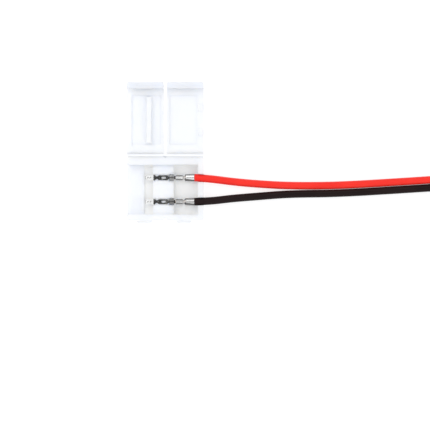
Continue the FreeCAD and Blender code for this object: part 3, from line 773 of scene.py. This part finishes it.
@dataclass
class Stamping:
    """A contact: a stamped and folded sheet with a crimp for the core and one for the skin.

    The shade says how much darker the crimps are painted: 0 is bright.
    """

    line: Line
    shade: float
    # Corners of the flat sheet, as station and half width
    outline: tuple[Flat, ...] = (
        (-4.22, 0.36), (-4.05, 0.52), (-2.75, 0.53), (-2.5, 0.64), (-2.3, 0.64), (-1.9, 0.31),
        (-1.7, 0.31), (-1.4, 0.55), (0.45, 0.55), (0.58, 0.31), (0.85, 0.31), (1.1, 0.4),
        (2.0, 0.36), (6.1, 0.36))
    sheet: float = 0.2
    edge: float = 0.03
    length_x: Flat = (-4.22, 6.1)
    root_x: Flat = (-2.6, -2.4)
    drop_x: Flat = (1.77, 2.1)
    underside: float = 1.35
    tip_rise: float = 0.3
    root_rise: float = 0.02
    columns: int = 14
    step: float = 0.075
    slot_x: Flat = (-0.80, 0.05)
    slot_half: float = 0.13
    dimples: tuple[float, ...] = (-3.72, -3.22)
    dimple_radius: float = 0.19
    dimple_depth: float = 0.12
    shoulder_x: Flat = (0.87, 1.75)
    shoulder_half: float = 0.65
    shoulder_height: float = 0.7
    shoulder_bend: float = 0.1
    shoulder_rows: int = 8
    fold_gap: float = 0.16
    core_x: Flat = (2.2, 3.6)
    core_half: float = 0.525
    core_height: float = 1.04
    core_floor: float = 0.995
    core_bend: float = 0.15
    core_press: float = 0.03
    core_rows: int = 18
    grip_x: Flat = (3.9, 6.1)
    grip_radius: Flat = (0.7, 0.8)
    grip_lean: Flat = (0.3, -0.07)
    grip_rows: int = 26
    wire_z: float = 1.6
    seam_y: Flat = (-0.24, -0.5)
    seam_half: float = 0.03
    # The darkest painted shade
    darkest: float = 0.8

    def half_width(self, x: float) -> float:
        """Return half the flat sheet's width at a station."""
        return along(x, self.outline)

    def level(self, x: float) -> float:
        """Find the sheet's underside: a rising tongue, a flat body, then down to the crimps.

        Args:
            x: The station.

        Returns:
            The height there.
        """
        tip, root = self.underside + self.tip_rise, self.underside + self.root_rise
        front, rear = (self.wire_z - radius for radius in self.grip_radius)
        return along(x, (
            (self.length_x[0], tip), (self.root_x[0], root), (self.root_x[1], self.underside),
            (self.drop_x[0], self.underside), (self.drop_x[1], self.core_floor),
            (self.core_x[1], self.core_floor), (self.grip_x[0], front), (self.grip_x[1], rear)))

    def spine(self) -> bmesh.types.BMesh:
        """Build the flat of the sheet, from its tip to the end of the grip.

        Returns:
            Its middle surface.
        """
        rows = round((self.length_x[1] - self.length_x[0]) / self.step)
        bm = bmesh.new()
        bmesh.ops.create_grid(bm, x_segments=rows, y_segments=self.columns, size=1.0)
        for vert in bm.verts:
            x = between(self.length_x, (vert.co.x + 1) / 2)
            y = vert.co.y * self.half_width(x)
            vert.co = Vector((x, y, self.level(x) + self.sheet / 2 - self.dip(x, y)))
        self.pierce_slot(bm)
        return bm

    def dip(self, x: float, y: float) -> float:
        """Find how deep the dimples press the tongue.

        Args:
            x: The point's station.
            y: Its place across the contact.

        Returns:
            The depth there.
        """
        depth = 0.0
        for centre in self.dimples:
            away = math.hypot(x - centre, y)
            if away < self.dimple_radius:
                wave = math.cos(math.pi * away / self.dimple_radius)
                depth = self.dimple_depth / 2 * (1 + wave)
        return depth

    def pierce_slot(self, bm: bmesh.types.BMesh) -> None:
        """Cut the oval slot in the body of the sheet.

        Args:
            bm: The sheet's middle surface.
        """
        low, high = self.slot_x[0] + self.slot_half, self.slot_x[1] - self.slot_half

        def away(point: Vector) -> tuple[float, Vector]:
            """Return a point's distance from the slot's middle line and the place nearest it."""
            core = Vector((min(max(point.x, low), high), 0, point.z))
            return (point - core).length, core

        inside = [f for f in bm.faces if away(f.calc_center_median())[0] < self.slot_half]
        rim = {v for f in inside for v in f.verts}
        bmesh.ops.delete(bm, geom=inside, context="FACES")
        for vert in rim:
            if vert.is_valid:
                distance, core = away(vert.co)
                if distance > 1e-6:
                    vert.co = core + (vert.co - core) * (self.slot_half / distance)

    def folded(self, stations: Sequence[tuple[float, Sequence[Flat]]], lean: Flat = (0, 0),
               columns: int = 28) -> bmesh.types.BMesh:
        """Fold a sheet through sections across the contact.

        Args:
            stations: Each station's x and the section's (y, z) line there.
            lean: How far the first and last edges shift along X per millimetre of height.
            columns: How many faces the sheet has across.

        Returns:
            The sheet's middle surface.
        """
        bm = bmesh.new()
        count = len(stations)
        bmesh.ops.create_grid(bm, x_segments=count - 1, y_segments=columns, size=1.0)
        sections = [resampled(line, columns + 1) for _, line in stations]
        base = min(z for section in sections for _, z in section)
        for vert in bm.verts:
            i = round((vert.co.x + 1) / 2 * (count - 1))
            j = round((vert.co.y + 1) / 2 * columns)
            y, z = sections[i][j]
            shift = between(lean, i / (count - 1)) * (z - base)
            vert.co = Vector((stations[i][0] + shift, y, z))
        return bm

    def shoulder(self) -> bmesh.types.BMesh:
        """Build the box-folded shoulder that locks the contact in its groove.

        Returns:
            Its middle surface.
        """
        half = self.shoulder_half - self.sheet / 2
        low = self.underside + self.sheet / 2
        full = self.shoulder_height - self.sheet / 2
        bend = self.shoulder_bend
        stations = []
        for i in range(self.shoulder_rows + 1):
            share = i / self.shoulder_rows
            top = self.underside + along(share, ((0, full - 0.18), (0.3, full), (0.85, full),
                                                 (1, full - 0.08)))
            right = [(0, low), *arc((half - bend, low + bend), bend, -90, 0, 6),
                     *arc((half - bend, top - bend), bend, 0, 90, 6), (self.fold_gap / 2, top)]
            stations.append((between(self.shoulder_x, share), mirrored(right)))
        return self.folded(stations, columns=36)

    def core_crimp(self) -> bmesh.types.BMesh:
        """Build the barrel rolled round the strands: two wings that meet in a cleft on top.

        Returns:
            Its middle surface.
        """
        half = self.core_half - self.sheet / 2
        lobe = half / 2
        low = self.core_floor + self.sheet / 2
        bend = self.core_bend
        stations = []
        for i in range(self.core_rows + 1):
            share = i / self.core_rows
            press = self.core_press * math.sin(math.pi * share)
            high = self.core_floor + self.core_height - self.sheet / 2 - lobe * 1.05 - press
            right = [(0, low), (half - bend, low), *arc((half - bend, low + bend), bend, -90, 0, 6),
                     *arc((half - lobe, high), lobe, 0, 172, 14), (0.035, high - 0.14)]
            stations.append((between(self.core_x, share), mirrored(right)))
        return self.folded(stations, columns=44)

    def grip(self) -> bmesh.types.BMesh:
        """Build the sleeve rolled round the insulation, with a slanted seam and slanted ends.

        Returns:
            Its middle surface.
        """
        stations = []
        for i in range(self.grip_rows + 1):
            x = between(self.grip_x, i / self.grip_rows)
            radius = self.across_grip(x, self.grip_radius) - self.sheet / 2 - 0.01
            seam = self.across_grip(x, self.seam_y)
            left = math.degrees(math.acos((seam - self.seam_half) / radius))
            right = math.degrees(math.acos((seam + self.seam_half) / radius))
            stations.append((x, arc((0, self.wire_z), radius, left, 360 + right, 60)))
        return self.folded(stations, self.grip_lean, columns=56)

    def across_grip(self, x: float, ends: Flat) -> float:
        """Return a value at a station of the grip, straight between its values at both ends."""
        return along(x, tuple(zip(self.grip_x, ends)))

    def build(self) -> bpy.types.Object:
        """Build and dress the contact.

        Returns:
            The piece.
        """
        whole = bmesh.new()
        for sheet in (self.spine(), self.shoulder(), self.core_crimp(), self.grip()):
            bmesh.ops.recalc_face_normals(sheet, faces=sheet.faces)
            scratch = bpy.data.meshes.new("sheet")
            sheet.to_mesh(scratch)
            sheet.free()
            whole.from_mesh(scratch)
            bpy.data.meshes.remove(scratch)
        # Painted shade per point: dark in the dimples, the crimps' clefts, seams and sides, and on
        # the shoulder
        painted_shade = whole.verts.layers.float.new("painted_shade")
        for vert in whole.verts:
            vert[painted_shade] = self.painted_shade_at(vert.co)
        bmesh.ops.translate(whole, verts=whole.verts, vec=(0, self.line.value, 0))
        piece = dressed(meshed(f"{self.line.word}_stamping", whole), TIN, Body.TRAY)
        wall = piece.modifiers.new("sheet", "SOLIDIFY")
        wall.thickness = self.sheet * MM
        wall.offset = 0
        round_off = piece.modifiers.new("round_off", "BEVEL")
        round_off.width = self.edge * MM
        round_off.segments = 2
        round_off.limit_method = "ANGLE"
        round_off.angle_limit = math.radians(55)
        piece.data.shade_smooth()
        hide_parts(f"{self.line.word}_contact")
        return piece

    def painted_shade_at(self, place: Vector) -> float:
        """Return how much painted shade a point gets: in the dimples, along the clefts, seams and
        sides of the crimps, on the shoulder, and the shade over the crimps as a whole.

        Args:
            place: The point, about the contact's own axis.

        Returns:
            0 in the open, and more where the painted shade is darker, as in the middle of a dimple.
        """
        x, y, z = place
        # Painted shade in the dimples, darkest in their middles
        painted_dark = max((2.0 - 2.0 * math.hypot(x - c, y) / self.dimple_radius for c in self.dimples))
        # The crimps darkened as a whole by the shade
        if x > self.core_x[0] - 0.2:
            painted_dark = self.shade
        # Painted shade over the shoulder, standing in for its dark reflection
        if self.shoulder_x[0] <= x <= self.shoulder_x[1] + 0.1:
            painted_dark = max(painted_dark, 0.6 + 0.8 * self.shade)
        # Painted shade along the core crimp's cleft and down its sides
        if self.core_x[0] <= x <= self.core_x[1] and z > self.core_floor + 0.45:
            painted_dark = max(painted_dark, 0.7 - abs(y) / 0.1, (abs(y) - 0.22) / 0.1)
        # Painted shade down the grip's sides, along its seam and over the wing below it
        if x > self.grip_x[0] - 0.1 and z > self.wire_z - 0.05:
            radius = self.across_grip(x, self.grip_radius)
            seam = self.across_grip(x, self.seam_y)
            painted_dark = max(painted_dark, (abs(y) / radius - 0.6) / 0.15, (seam + 0.1 - y) / 0.12)
        return min(max(painted_dark, 0), self.darkest)


@dataclass
class StrandBundle:
    """The bared core in the core crimp: six strands laid round one, with a cut brush end."""

    line: Line
    strand: float = 0.088
    ring: float = 0.165
    length_x: Flat = (2.06, 4.6)
    level: float = 1.52
    lay: float = 4.2
    brush: float = 0.1
    rows: int = 16
    sides: int = 10

    def build(self) -> bpy.types.Object:
        """Build and dress the bundle.

        Returns:
            The piece.
        """
        bm = bmesh.new()
        self.add_strand(bm, 0, 0)
        for i in range(6):
            self.add_strand(bm, self.ring, 60.0 * i + 12)
        bmesh.ops.recalc_face_normals(bm, faces=bm.faces)
        piece = dressed(meshed(f"{self.line.word}_strand_bundle", bm), STRAND_TIN, Body.TRAY)
        smoothed(piece, 50)
        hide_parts(f"{self.line.word}_strands")
        return piece

    def add_strand(self, bm: bmesh.types.BMesh, radius: float, degrees: float) -> None:
        """Extrude one strand along its helix.

        Args:
            bm: The bundle's mesh.
            radius: How far the strand lies from the bundle's axis.
            degrees: Where it starts round the axis.
        """
        turned = Matrix.Rotation(math.radians(90), 4, "Y")
        made = bmesh.ops.create_circle(bm, cap_ends=True, radius=self.strand, segments=self.sides,
                                       matrix=turned)
        last = self.centre(0, radius, degrees)
        bmesh.ops.translate(bm, verts=made["verts"], vec=last)
        cap = made["verts"][0].link_faces[0]
        for row in range(1, self.rows + 1):
            extruded = bmesh.ops.extrude_discrete_faces(bm, faces=[cap])
            cap = extruded["faces"][0]
            here = self.centre(row / self.rows, radius, degrees)
            bmesh.ops.translate(bm, verts=cap.verts, vec=here - last)
            last = here

    def centre(self, share: float, radius: float, degrees: float) -> Vector:
        """Return a strand's centre.

        Args:
            share: How far along the bundle.
            radius: How far from its axis.
            degrees: Where the strand starts round it.

        Returns:
            The point.
        """
        x = between(self.length_x, share)
        turn = math.radians(degrees) + 2 * math.pi * (x - self.length_x[0]) / self.lay
        spread = radius * (1 + self.brush * max(0, 1 - share * 12))
        return Vector((x, self.line.value + spread * math.cos(turn),
                       self.level + spread * math.sin(turn)))


@dataclass
class Neck:
    """The end of the insulation that the grip squeezes, from its cut face to the full wire."""

    line: Line
    start_x: float = 4.42
    level: float = 1.6
    profile: tuple[Flat, ...] = ((0.0, 0.45), (0.05, 0.5), (0.14, 0.53), (1.48, 0.58),
                                 (1.6, 0.64), (1.66, 0.73), (1.72, 0.78))
    sides: int = 40

    def build(self) -> bpy.types.Object:
        """Build and dress the squeezed end.

        Returns:
            The piece.
        """
        bm = bmesh.new()
        turned = Matrix.Rotation(math.radians(90), 4, "Y")
        place = Matrix.Translation((self.start_x, self.line.value, self.level))
        made = bmesh.ops.create_circle(bm, cap_ends=True, radius=self.profile[0][1],
                                       segments=self.sides, matrix=place @ turned)
        cap = made["verts"][0].link_faces[0]
        for (x0, r0), (x1, r1) in zip(self.profile, self.profile[1:]):
            cap = bmesh.ops.extrude_discrete_faces(bm, faces=[cap])["faces"][0]
            bmesh.ops.translate(bm, verts=cap.verts, vec=(x1 - x0, 0, 0))
            middle = Matrix.Translation((-self.start_x - x1, -self.line.value, -self.level))
            bmesh.ops.scale(bm, verts=cap.verts, vec=(1, r1 / r0, r1 / r0), space=middle)
        bmesh.ops.recalc_face_normals(bm, faces=bm.faces)
        piece = dressed(meshed(f"{self.line.word}_neck", bm), SKINS[self.line], Body.TRAY)
        smoothed(piece, 50)
        return piece


@dataclass
class TinnedEnd:
    """The stripped far end of a wire: strands twisted and tinned into one pin."""

    line: Line
    start: Place
    degrees: float
    radius: float = 0.37
    length: float = 4.95
    rows: int = 40
    lobes: int = 7
    lobe_depth: float = 0.09
    twist: float = 4.5

    def build(self) -> bpy.types.Object:
        """Build and dress the tinned end.

        Returns:
            The piece.
        """
        bm = bmesh.new()
        made = bmesh.ops.create_circle(bm, cap_ends=True, radius=self.radius,
                                       segments=self.lobes * 8)
        for vert in made["verts"]:
            turn = math.atan2(vert.co.y, vert.co.x)
            vert.co *= 1 - self.lobe_depth * abs(math.sin(turn * self.lobes / 2))
        cap = made["verts"][0].link_faces[0]
        step = self.length / self.rows
        twisted = Matrix.Rotation(math.radians(self.twist), 3, "Z")
        for _ in range(self.rows):
            cap = bmesh.ops.extrude_discrete_faces(bm, faces=[cap])["faces"][0]
            bmesh.ops.translate(bm, verts=cap.verts, vec=(0, 0, step))
            bmesh.ops.rotate(bm, verts=cap.verts, matrix=twisted)
        bmesh.ops.scale(bm, verts=cap.verts, vec=(0.8, 0.8, 1))
        turned = Matrix.Rotation(math.radians(self.degrees), 4, "Z")
        turned = turned @ Matrix.Rotation(math.radians(90), 4, "Y")
        bmesh.ops.transform(bm, matrix=Matrix.Translation(self.start) @ turned, verts=bm.verts)
        bmesh.ops.recalc_face_normals(bm, faces=bm.faces)
        piece = dressed(meshed(f"{self.line.word}_tinned_end", bm), STRAND_TIN, Body.TRAY)
        smoothed(piece, 55)
        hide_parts(f"{self.line.word}_tail")
        return piece


@dataclass
class Lead:
    """One wire of the lead, from the grip to its tinned end in the coil."""

    line: Line
    turn: Turn
    route: tuple[Place, ...]
    length: float
    diameter: float = 1.6
    pitch: float = 1.66
    coil_x: float = 70.5
    coil_y: float = 1.59
    radii: tuple[float, ...] = (12.35, 10.69, 7.2)
    last_angle: float = 105.0
    point_angle: float = 22.5

    def arcs(self) -> list[tuple[float, float, float, float]]:
        """Lay out the arcs of the coil, each on the far side of the one before.

        Returns:
            Each arc's centre y, this wire's radius, its first angle and its sweep.
        """
        found = []
        start, side = self.coil_y, 1
        for radius, sweep in zip(self.radii, (180.0, 180.0, self.last_angle)):
            own = radius + self.turn.value * self.pitch / 2
            found.append((start + side * radius, own, -90.0 * side, sweep))
            start += 2 * side * radius
            side = -side
        return found

    def coil_points(self) -> list[Place]:
        """Spread control points along the coil's turns, eight to a half turn.

        Returns:
            The points, which lie just outside the wire's own middle line.
        """
        points = []
        for centre, radius, first, sweep in self.arcs():
            count = round(sweep / self.point_angle)
            step = math.radians(sweep / count)
            reach = radius / math.cos(step / 2)
            for k in range(count):
                turn = math.radians(first) + step * (k + 0.5)
                points.append((self.coil_x + reach * math.cos(turn),
                               centre + reach * math.sin(turn), self.diameter / 2))
        return points

    def end(self) -> tuple[Place, float]:
        """Find the end of the insulation in the coil.

        Returns:
            Its place, and the wire's direction there in degrees.
        """
        centre, radius, first, sweep = self.arcs()[-1]
        turn = math.radians(first + sweep)
        place = (self.coil_x + radius * math.cos(turn), centre + radius * math.sin(turn),
                 self.diameter / 2)
        return place, first + sweep + 90

    def build(self) -> bpy.types.Object:
        """Returns:
            The piece.
        """
        place, degrees = self.end()
        tail = TinnedEnd(self.line, place, degrees).build()
        points = [*self.route, *self.coil_points(), place]
        curve = bpy.data.curves.new(f"{self.line.word}_cord", "CURVE")
        curve.dimensions = "3D"
        spline = curve.splines.new("NURBS")
        spline.points.add(len(points) - 1)
        for point, corner in zip(spline.points, points):
            point.co = (*mm(corner), 1)
        spline.order_u = 3
        spline.use_endpoint_u = True
        curve.resolution_u = 10
        curve.bevel_depth = self.diameter / 2 * MM
        curve.bevel_resolution = 7
        curve.use_fill_caps = True
        piece = dressed(placed(curve.name, curve), SKINS[self.line], Body.TRAY)
        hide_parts(f"{self.line.word}_lead", "lead_coil")
        return piece


@dataclass
class Studio:
    """The white table, the soft lights and the camera above the connector.

    The camera hangs over the centre, and its picture is as wide as the field at the subject's
    level. The table lies just under the tray, so that the two faces don't meet. The dark patch
    overhead has its outer and inner edges at these angles off the vertical.
    """

    centre: Flat = (10.33, -5.28)
    height: float = 600.0
    field: float = 89.58
    subject: float = 2.0
    table_z: float = -0.03
    dark_patch: Flat = (13.0, 9.0)

    def build(self) -> None:
        """Build the whole studio."""
        self.table()
        self.sky()
        self.lamp("key_panel", place=(-0.32, 0.30, 0.55), size=0.5, power=1.1)
        self.lamp("fill_panel", place=(0.42, -0.28, 0.5), size=0.45, power=0.5)
        self.camera()
        bpy.context.scene.view_settings.view_transform = "Standard"

    def table(self) -> None:
        """Lay the plain white table top."""
        bm = bmesh.new()
        bmesh.ops.create_grid(bm, x_segments=2, y_segments=2, size=1.6,
                              matrix=Matrix.Translation((0, 0, self.table_z * MM)))
        mesh = bpy.data.meshes.new("table_top")
        bm.to_mesh(mesh)
        bm.free()
        top = placed("table_top", mesh)
        material = bpy.data.materials.new("table_white")
        material.use_nodes = True
        recipe = Recipe(material.node_tree)
        shader = recipe.add("ShaderNodeBsdfPrincipled", {
            "Base Color": (0.4, 0.4, 0.4, 1), "Roughness": 0.9, "Specular IOR Level": 0.1,
            "Emission Color": (1, 1, 1, 1), "Emission Strength": 0.72})
        recipe.add("ShaderNodeOutputMaterial", {"Surface": shader.outputs[0]})
        mesh.materials.append(material)

    def sky(self) -> None:
        """Surround the table with white, and a dark patch overhead where the camera hangs."""
        world = bpy.data.worlds.new("soft_room")
        bpy.context.scene.world = world
        world.use_nodes = True
        recipe = Recipe(world.node_tree)
        where = recipe.add("ShaderNodeTexCoord")
        facing = recipe.add("ShaderNodeSeparateXYZ", {0: where.outputs["Generated"]})
        rise = recipe.ranged(facing.outputs["Z"], 0.0, 0.5)
        walls = recipe.mix(rise, (0.34, 0.34, 0.35, 1), (0.97, 0.98, 1.0, 1))
        outer, inner = (math.cos(math.radians(angle)) for angle in self.dark_patch)
        overhead = recipe.ranged(facing.outputs["Z"], outer, inner)
        colour = recipe.mix(overhead, walls, (0.05, 0.05, 0.05, 1))
        glow = recipe.add("ShaderNodeBackground", {"Color": colour, "Strength": 1.0})
        recipe.add("ShaderNodeOutputWorld", {"Surface": glow.outputs[0]})

    def lamp(self, name: str, place: Place, size: float, power: float) -> None:
        """Hang a square soft light that faces the connector.

        Args:
            name: Its name.
            place: Where it hangs, in metres.
            size: Its side, in metres.
            power: Its power, in watts.
        """
        light = bpy.data.lights.new(name, "AREA")
        light.size = size
        light.energy = power
        panel = placed(name, light)
        panel.location = place
        aim = Vector((0.02, 0, 0)) - Vector(place)
        panel.rotation_euler = aim.to_track_quat("-Z", "Y").to_euler()

    def camera(self) -> None:
        """Hang the camera straight above, framed as the photograph is."""
        lens = bpy.data.cameras.new("overhead_camera")
        lens.sensor_fit = "HORIZONTAL"
        lens.angle = 2 * math.atan(self.field / 2 / (self.height - self.subject))
        lens.clip_start, lens.clip_end = 0.01, 10
        camera = placed("overhead_camera", lens)
        camera.location = mm((*self.centre, self.height))
        bpy.context.scene.camera = camera


# Both wires' corner points, from the mouth of the grip to where the coil starts
RED_ROUTE = ((6.1, 2.5, 1.6), (9.3, 2.28, 1.52), (13.8, 1.68, 0.96), (19.0, 1.20, 0.8),
             (26.0, 0.80, 0.8), (36.0, 0.86, 0.8), (50.0, 1.70, 0.8), (60.5, 2.42, 0.8),
             (70.5, 2.42, 0.8))
BLACK_ROUTE = ((6.1, -2.5, 1.6), (9.3, -2.40, 1.52), (13.8, -1.84, 0.96), (19.0, -1.42, 0.8),
               (26.0, -0.87, 0.8), (36.0, -0.79, 0.8), (50.0, 0.06, 0.8), (60.5, 0.76, 0.8),
               (70.5, 0.76, 0.8))


def main() -> None:
    """Build the studio, the lead, the contacts and the mouldings, in that order."""
    logging.basicConfig(level=logging.INFO, format="%(name)s: %(message)s")
    Studio().build()
    Lead(Line.RED, Turn.INNER, RED_ROUTE, length=143.4).build()
    Lead(Line.BLACK, Turn.OUTER, BLACK_ROUTE, length=156.9).build()
    for line, shade in ((Line.RED, 0.1), (Line.BLACK, 0.38)):
        Neck(line).build()
        StrandBundle(line).build()
        Stamping(line, shade).build()
    TrayMoulding("base_tray", Body.TRAY).build()
    LeafMoulding("strip_leaf", Body.STRIP_LEAF).build()
    LeafMoulding("wire_leaf", Body.WIRE_LEAF).build()
    HingeFilm("strip_leaf_film", Body.STRIP_LEAF, x=(-8.0, -0.36)).build()
    HingeFilm("wire_leaf_film", Body.WIRE_LEAF, x=(0.36, 8.0)).build()


if __name__ == "__main__":
    main()
